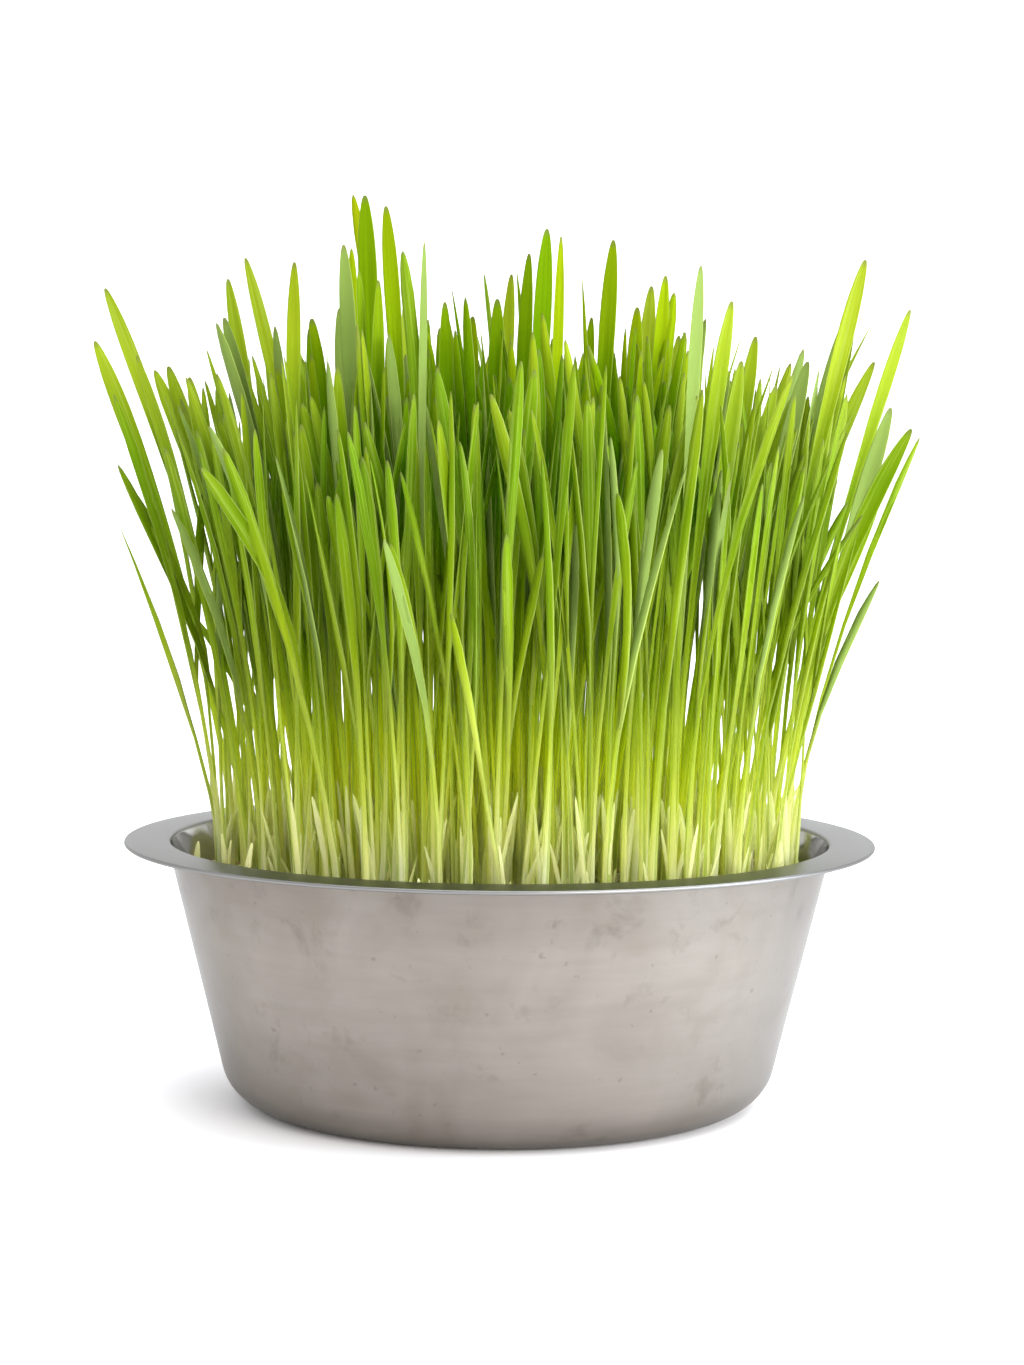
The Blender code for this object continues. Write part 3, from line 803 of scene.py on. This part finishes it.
def growShoots(name, shoots, tree, material):
    sides, rings, seed, leafWidth = drawnAs[name]
    draw = random.Random(seed)
    mesh = bpy.data.meshes.new(name)
    mesh.from_pydata([(0, 0, 0)] * len(shoots), [], [])
    for key, unit in (("foot", mm), ("tip", mm), ("lean", 1.0)):
        noteOnPoints(mesh, key, "FLOAT_VECTOR", [shoot[key].to_3d() * unit for shoot in shoots])
    for key in ("sway", "tipLength", "dried"):
        noteOnPoints(mesh, key, "FLOAT", [shoot[key] * mm for shoot in shoots])
    for key in ("bend", "facing", "twist", "size", "leafFrom", "leafTo", "pale"):
        noteOnPoints(mesh, key, "FLOAT", [shoot[key] for shoot in shoots])
    # tone: random, plus painted light towards the sides and most of all on the window's side
    noteOnPoints(mesh, "tone", "FLOAT", [toneOf(turf, draw, shoot) for shoot in shoots])
    piece = newPiece(name, mesh)
    bakeNodes(piece, tree, {
        "Sides": sides, "Rings": rings, "Section Turn": math.pi / 6 if sides == 6 else 0.0,
        "Leaf Width": leafWidth * mm / 2, "Stem Thickness": leafShape["stemThickness"] / 2,
        "Fold Depth": leafShape["foldDepth"], "Material": material})
    handOver(piece, "wheatgrass")


def grassMaterial():
    # Young wheat leaf, thin and juicy: light comes through it, so it glows yellow-green against white, and
    # pales to cream at the sheath by the seed. Within the stand it has painted shade, deeper green where
    # leaves shade each other, and painted light, paler stems; its margins carry a painted sheen. Its veins
    # are drawn three or four to a leaf, as the real ones are too fine to show
    s = {"heights": [(0.0, "#FFFFEC"), (0.08, "#F8F8BC"), (0.18, "#DAE268"), (0.36, "#A2BA1A"),
                     (0.58, "#7A9E06"), (0.80, "#B2C42C"), (1.0, "#98A61C")],
         "within": [(0.0, "#FFFFDC"), (0.08, "#FFFF94"), (0.18, "#F6FA4A"), (0.36, "#B8D408"),
                    (0.58, "#469600"), (0.80, "#9EB612"), (1.0, "#98A40E")],
         "paintedLightAndShadeInside": (84 * mm, 54 * mm), "lowest": 66 * mm, "highest": 255 * mm, "toneShift": 0.12,
         "leafy": [(0.40, 0.0), (0.62, 1.0)], "cool": ("#6A980A", 0.40, 0.0, 0.8),
         "warm": ("#6A8A06", 0.50, 1.0, 0.65), "vein": "#AABC58", "veinCount": 3.6, "veinLength": 24.0,
         "veinShift": 90.0, "veinShade": (0.84, 1.14), "veinLines": [(0.52, 0.0), (0.66, 0.5)],
         "veinBump": 0.25, "veinDepth": 0.1 * mm, "waxy": "#829A4A", "waxyShare": 0.11, "edge": "#B2C464",
         "edgeFrom": [(0.90, 0.0), (0.97, 0.75)], "tip": "#7A7F4C", "tipStrength": 0.8, "pale": "#F8F8D2",
         "rough": 0.52, "ior": 1.4, "shine": 0.12, "glowStem": 0.78, "glowLeaf": 0.48, "glowWaxy": 0.30,
         "glowColour": "#A6B404", "glowShare": 0.5}
    material, tree, surface = newMaterial("wheat leaf, fresh")
    place = add(tree, "TexCoord").outputs["Object"]
    height = add(tree, "SeparateXYZ", place).outputs["Z"]
    tone, across, along, fromTip, dried, pale = (
        add(tree, "Attribute", attribute_name=name).outputs["Fac"]
        for name in ("tone", "across", "along", "fromTip", "dried", "pale"))

    # colour by height, in the open and within the stand, where painted light brightens the stems and painted
    # shade deepens the leaves, then by tone, which carries painted light towards the sides
    level = add(tree, "MapRange", {"Value": height, "From Min": s["lowest"], "From Max": s["highest"]})
    shifted = add(tree, "Math", tone, s["toneShift"], level, operation="MULTIPLY_ADD")
    moved = add(tree, "Math", shifted, s["toneShift"] / 2, operation="SUBTRACT")
    outside = add(tree, "ValToRGB", moved, stops=s["heights"])
    # the inner ramp: painted light on the stems, painted shade on the leaves, mixed in towards the middle of
    # the stand
    within = add(tree, "ValToRGB", moved, stops=s["within"])
    flat = add(tree, "VectorMath", place, (1, 1, 0), operation="MULTIPLY")
    out = add(tree, "VectorMath", flat, operation="LENGTH")
    paintedLightAndShadeInside = add(tree, "MapRange", {"Value": out, "From Min": s["paintedLightAndShadeInside"][0], "From Max": s["paintedLightAndShadeInside"][1]})
    colour = add(tree, "Mix", paintedLightAndShadeInside, outside, within, data_type="RGBA")
    leafy = add(tree, "ValToRGB", along, stops=s["leafy"])
    for target, near, far, strength in (s["cool"], s["warm"]):
        amount = add(tree, "MapRange", {"Value": tone, "From Min": near, "From Max": far, "To Max": strength})
        onLeaf = add(tree, "Math", amount, leafy, operation="MULTIPLY")
        colour = add(tree, "Mix", onLeaf, colour, target, data_type="RGBA")

    # veins, pale where the leaf stands in the light
    veinPlace = add(tree, "CombineXYZ",
                    add(tree, "Math", across, s["veinCount"], operation="MULTIPLY"),
                    add(tree, "Math", height, s["veinLength"], operation="MULTIPLY"),
                    add(tree, "Math", tone, s["veinShift"], operation="MULTIPLY"))
    veins = add(tree, "TexNoise", {"Vector": veinPlace, "Scale": 1.0, "Detail": 2.0})
    veined = add(tree, "MapRange", {
        "Value": veins, "From Min": 0.3, "From Max": 0.7,
        "To Min": s["veinShade"][0], "To Max": s["veinShade"][1]})
    dappled = add(tree, "VectorMath", colour, veined, operation="SCALE")
    lines = add(tree, "ValToRGB", veins, stops=s["veinLines"])
    lit = add(tree, "Math", 1.0, paintedLightAndShadeInside, operation="SUBTRACT")
    litLines = add(tree, "Math", lines, lit, operation="MULTIPLY")
    streaked = add(tree, "Mix", litLines, dappled, s["vein"], data_type="RGBA")

    # about one leaf in six is waxy and grey-green, as it shows its other face
    other = add(tree, "Math", tone, 0.5, s["waxyShare"] / 2, operation="COMPARE")
    waxy = add(tree, "Math", other, leafy, operation="MULTIPLY")
    dulled = add(tree, "Mix", waxy, streaked, s["waxy"], data_type="RGBA")
    # painted sheen: a pale band along each leaf's margins
    margin = add(tree, "Math", across, operation="ABSOLUTE")
    paintedSheenMask = add(tree, "ValToRGB", margin, stops=s["edgeFrom"])
    paintedSheenMixed = add(tree, "Mix", paintedSheenMask, dulled, s["edge"], data_type="RGBA")
    dry = add(tree, "MapRange", {
        "Value": fromTip, "From Min": dried, "From Max": 0.0, "To Max": s["tipStrength"]})
    tipped = add(tree, "Mix", dry, paintedSheenMixed, s["tip"], data_type="RGBA")
    whole = add(tree, "Mix", pale, tipped, s["pale"], data_type="RGBA")

    # skin, and the light that comes through it
    bump = add(tree, "Bump", {"Height": veins, "Strength": s["veinBump"], "Distance": s["veinDepth"]})
    shine = add(tree, "MapRange", {"Value": paintedLightAndShadeInside, "To Min": s["shine"], "To Max": 0.0})
    skin = add(tree, "BsdfPrincipled", {
        "Base Color": whole, "Roughness": s["rough"], "IOR": s["ior"], "Specular IOR Level": shine,
        "Normal": bump})
    part = add(tree, "Math", leafy, s["glowShare"], operation="MULTIPLY")
    through = add(tree, "Mix", part, whole, s["glowColour"], data_type="RGBA")
    glow = add(tree, "BsdfTranslucent", through)
    green = add(tree, "Mix", leafy, s["glowStem"], s["glowLeaf"], data_type="FLOAT")
    share = add(tree, "Mix", waxy, green, s["glowWaxy"], data_type="FLOAT")
    tree.links.new(add(tree, "MixShader", share, skin, glow).outputs[0], surface)
    return material


# Mat of roots and seeds that the shoots stand in

mat = {
    "top": 65.0, "under": 56.8, "wallGap": 1.2, "rings": 40, "stepsAround": 120, "sunk": 0.4,
    "shoulder": ((0.9, 0.9), (0.3, 3.0)), "lumpSize": 7.0, "lumpHeight": 1.1, "lumpSlice": 3.0, "lumpTo": 2.0,
}


def makeMat(s, material):
    mesh = bpy.data.meshes.new("rootMat")
    bm = bmesh.new()
    outer = wallRadius(s["top"], s["wallGap"])
    profile = [(outer * step / s["rings"], s["top"]) for step in range(1, s["rings"])]
    profile += [(outer - inwards, s["top"] - down) for inwards, down in s["shoulder"]]
    profile.append((wallRadius(s["under"], s["wallGap"]), s["under"]))
    loops = []
    for radius, height in profile:
        loop = []
        for step in range(s["stepsAround"]):
            x, y = onCircle(axis, radius, math.tau * step / s["stepsAround"])
            lump = noise.noise(Vector((x, y, s["lumpSlice"])) / s["lumpSize"]) * s["lumpHeight"]
            lift = lump if height > s["top"] - s["lumpTo"] else 0.0
            loop.append(bm.verts.new((x * mm, y * mm, (height - s["sunk"] + lift) * mm)))
        loops.append(loop)
    middle = bm.verts.new((0, 0, s["top"] * mm))
    foot = bm.verts.new((0, 0, s["under"] * mm))
    steps = [(step, (step + 1) % s["stepsAround"]) for step in range(s["stepsAround"])]
    for inner, outerLoop in zip(loops, loops[1:]):
        for step, after in steps:
            bm.faces.new((inner[step], outerLoop[step], outerLoop[after], inner[after]))
    for step, after in steps:
        bm.faces.new((middle, loops[0][step], loops[0][after]))
        bm.faces.new((foot, loops[-1][after], loops[-1][step]))
    bmesh.ops.recalc_face_normals(bm, faces=bm.faces)
    bm.to_mesh(mesh)
    bm.free()
    mesh.shade_smooth()
    mesh.materials.append(material)
    handOver(newPiece("rootMat", mesh), "wheatgrass")


def rootMatMaterial():
    # Felted roots with soil and husks caught in them: dark and damp, flecked with cream
    s = {"soil": "#3A3020", "root": "#D6CDA6", "husk": "#8A6C3A", "fleckSize": 2.2 * mm, "huskSize": 5 * mm,
         "flecks": [(0.42, 0.0), (0.58, 0.9)], "husks": [(0.2, 0.9), (0.42, 0.0)], "rough": 0.8,
         "bump": 0.6, "depth": 0.8 * mm}
    material, tree, surface = newMaterial("root felt with soil")
    place = add(tree, "TexCoord").outputs["Object"]
    flecks = add(tree, "TexNoise", {
        "Vector": place, "Scale": 1 / s["fleckSize"], "Detail": 4.0, "Roughness": 0.7, "Distortion": 1.5})
    husks = add(tree, "TexVoronoi", {"Vector": place, "Scale": 1 / s["huskSize"]})
    rootMask = add(tree, "ValToRGB", flecks, stops=s["flecks"])
    huskMask = add(tree, "ValToRGB", husks, stops=s["husks"])
    ground = add(tree, "Mix", huskMask, s["soil"], s["husk"], data_type="RGBA")
    colour = add(tree, "Mix", rootMask, ground, s["root"], data_type="RGBA")
    roughen(tree, colour, flecks, s, surface)
    return material


# Seeds: those in the ring by the wall lie as the solid ones do, the others are strewn among the feet

seeds = {
    "size": (6.6, 3.2, 2.9), "segments": 8, "rings": 6, "crease": 0.14, "creaseWidth": 0.1, "toneSeed": 71,
    "ringCount": 30, "ringJitter": 0.3, "ring": (84.5, 87.2), "tilt": 0.2, "turn": 0.6,
    "strewnCount": 240, "strewnRadius": 83.0, "strewnTilt": 0.5, "lift": (-0.9, 0.3),
}


def planSeeds(s, t):
    draw = random.Random(t["seed"] + 3)
    lying = []
    for index in range(s["ringCount"]):
        share = (index + draw.uniform(-s["ringJitter"], s["ringJitter"])) / s["ringCount"]
        angle = math.tau * share
        spot = onCircle(axis, draw.uniform(*s["ring"]), angle)
        turn = angle + math.pi / 2 + draw.uniform(-s["turn"], s["turn"])
        tilt = draw.uniform(-s["tilt"], s["tilt"])
        lying.append((Vector((spot.x, spot.y, t["matTop"])), Vector((0, tilt, turn))))
    for index in range(s["strewnCount"]):
        out = s["strewnRadius"] * math.sqrt(draw.random())
        spot = onCircle(axis, out, draw.uniform(0, math.tau))
        height = t["matTop"] + draw.uniform(*s["lift"])
        tilt = draw.uniform(-s["strewnTilt"], s["strewnTilt"])
        roll, turn = draw.uniform(0, math.tau), draw.uniform(0, math.tau)
        lying.append((Vector((spot.x, spot.y, height)), Vector((roll, tilt, turn))))
    return lying


def seedTree(s):
    tree, given, output = newTree("seeds lying about", [
        ("Spots", "Geometry", None), ("Size", "Vector", None), ("Segments", "Int", s["segments"]),
        ("Rings", "Int", s["rings"]), ("Crease", "Float", s["crease"]),
        ("Crease Width", "Float", s["creaseWidth"]), ("Material", "Material", None)],
        [("Geometry", "Geometry")])
    ball = add(tree, "GeometryNodeMeshUVSphere", given["Segments"], given["Rings"], 0.5)
    laid = add(tree, "VectorRotate", {
        "Vector": add(tree, "GeometryNodeInputPosition"), "Angle": math.pi / 2}, rotation_type="Y_AXIS")
    where = add(tree, "SeparateXYZ", laid).outputs
    aside = add(tree, "Math", where["Y"], given["Crease Width"], operation="DIVIDE")
    squared = add(tree, "Math", aside, aside, operation="MULTIPLY")
    spread = add(tree, "Math", squared, 1.0, operation="ADD")
    depth = add(tree, "Math", given["Crease"], spread, operation="DIVIDE")
    up = add(tree, "Math", where["Z"], 0.0, operation="GREATER_THAN")
    sunk = add(tree, "Math", depth, up, operation="MULTIPLY")
    lower = add(tree, "Math", where["Z"], sunk, operation="SUBTRACT")
    creased = add(tree, "CombineXYZ", where["X"], where["Y"], lower)
    sized = add(tree, "VectorMath", creased, given["Size"], operation="MULTIPLY")
    shaped = add(tree, "GeometryNodeSetPosition", {"Geometry": ball, "Position": sized})
    turn = add(tree, "FunctionNodeEulerToRotation", add(tree, "GeometryNodeInputNamedAttribute", {
        "Name": "turn"}, data_type="FLOAT_VECTOR"))
    strewn = add(tree, "GeometryNodeInstanceOnPoints", {
        "Points": given["Spots"], "Instance": shaped, "Rotation": turn})
    smooth = add(tree, "GeometryNodeSetShadeSmooth", {"Geometry": strewn, "Shade Smooth": True})
    return endTree(tree, smooth, given, output)


def strewSeeds(s, lying, tree, material):
    draw = random.Random(s["toneSeed"])
    mesh = bpy.data.meshes.new("seeds")
    mesh.from_pydata([spot * mm for spot, turn in lying], [], [])
    noteOnPoints(mesh, "turn", "FLOAT_VECTOR", [turn for spot, turn in lying])
    noteOnPoints(mesh, "tone", "FLOAT", [draw.random() for spot, turn in lying])
    piece = newPiece("seeds", mesh)
    bakeNodes(piece, tree, {"Size": [side * mm for side in s["size"]], "Material": material})
    handOver(piece, "wheatgrass")


def seedMaterial():
    # Wheat grain, soaked and sprouted: dull tan husk with lengthwise wrinkles, some gone orange-brown
    s = {"pale": "#C9B07A", "brown": "#8E5A26", "wrinkleSize": 0.8 * mm, "rough": 0.6,
         "bump": 0.4, "depth": 0.2 * mm}
    material, tree, surface = newMaterial("wheat grain, sprouted")
    place = add(tree, "TexCoord").outputs["Object"]
    tone = add(tree, "Attribute", attribute_name="tone").outputs["Fac"]
    wrinkles = add(tree, "TexNoise", {"Vector": place, "Scale": 1 / s["wrinkleSize"], "Detail": 3.0})
    shade = add(tree, "Math", wrinkles, tone, operation="MULTIPLY")
    colour = add(tree, "Mix", shade, s["pale"], s["brown"], data_type="RGBA")
    roughen(tree, colour, wrinkles, s, surface)
    return material


# Root threads: white, leaving a seed and dipping into the mat

threads = {
    "count": 420, "seed": 83, "reach": (5.0, 13.0), "top": (64.9, 66.4), "dip": (0.5, 2.4), "furthest": 88.5,
    "size": (0.16, 0.30), "bend": (0.7, 1.3), "sway": 2.5, "leafTo": 0.1, "tipLength": 4.0,
}


def planThreads(s, lying):
    draw = random.Random(s["seed"])
    roots = []
    for index in range(s["count"]):
        spot = lying[index % len(lying)][0]
        away = heading(draw.uniform(0, math.tau))
        foot = Vector((spot.x, spot.y, draw.uniform(*s["top"])))
        out = away * draw.uniform(*s["reach"])
        tip = foot + out - Vector((0, 0, draw.uniform(*s["dip"])))
        tip.xy = tip.xy.normalized() * min(tip.xy.length, s["furthest"])
        roots.append(newShoot(
            foot, tip, bend=draw.uniform(*s["bend"]), sway=draw.uniform(-s["sway"], s["sway"]),
            size=draw.uniform(*s["size"]), leafTo=s["leafTo"], tipLength=s["tipLength"], pale=1.0))
    return roots


def soilMaterial():
    # Potting soil, damp and crumbly: near black with brown fibre
    s = {"crumbs": [(0.4, "#1D1510"), (0.7, "#5A4327")], "crumbSize": 2.5 * mm, "rough": 0.95,
         "bump": 0.8, "depth": 1.0 * mm}
    material, tree, surface = newMaterial("potting soil, damp")
    place = add(tree, "TexCoord").outputs["Object"]
    crumbs = add(tree, "TexNoise", {
        "Vector": place, "Scale": 1 / s["crumbSize"], "Detail": 5.0, "Roughness": 0.7})
    colour = add(tree, "ValToRGB", crumbs, stops=s["crumbs"])
    roughen(tree, colour, crumbs, s, surface)
    return material


def dressSoil(material):
    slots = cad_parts["potting_soil"].data.materials
    slots.clear()
    slots.append(material)
    print("soil dressed")


# Build

makeCamera(cameraSetup)
makeLights(lightSetup)
makeSweep(lightSetup)
makeBowl(bowl, turningTree(), steelMaterial())
dressSoil(soilMaterial())

tallShoots, otherShoots = planShoots(turf)
slenderShoots = planSlender(slender, turf)
slimShort(otherShoots + slenderShoots)
allShoots = tallShoots + otherShoots + slenderShoots
print("planned", len(allShoots), "shoots")

grass = grassMaterial()
shooting = shootTree(leafShape, pathTree())
growShoots("tallShoots", tallShoots, shooting, grass)
growShoots("shoots", otherShoots, shooting, grass)
growShoots("slenderShoots", slenderShoots, shooting, grass)
growShoots("secondLeaves", planSecondLeaves(secondLeaf, allShoots), shooting, grass)
growShoots("sheaths", planSheaths(sheath, allShoots), shooting, grass)
growShoots("lateSprouts", planSprouts(turf), shooting, grass)

makeMat(mat, rootMatMaterial())
lyingSeeds = planSeeds(seeds, turf)
strewSeeds(seeds, lyingSeeds, seedTree(seeds), seedMaterial())
growShoots("rootThreads", planThreads(threads, lyingSeeds), shooting, grass)
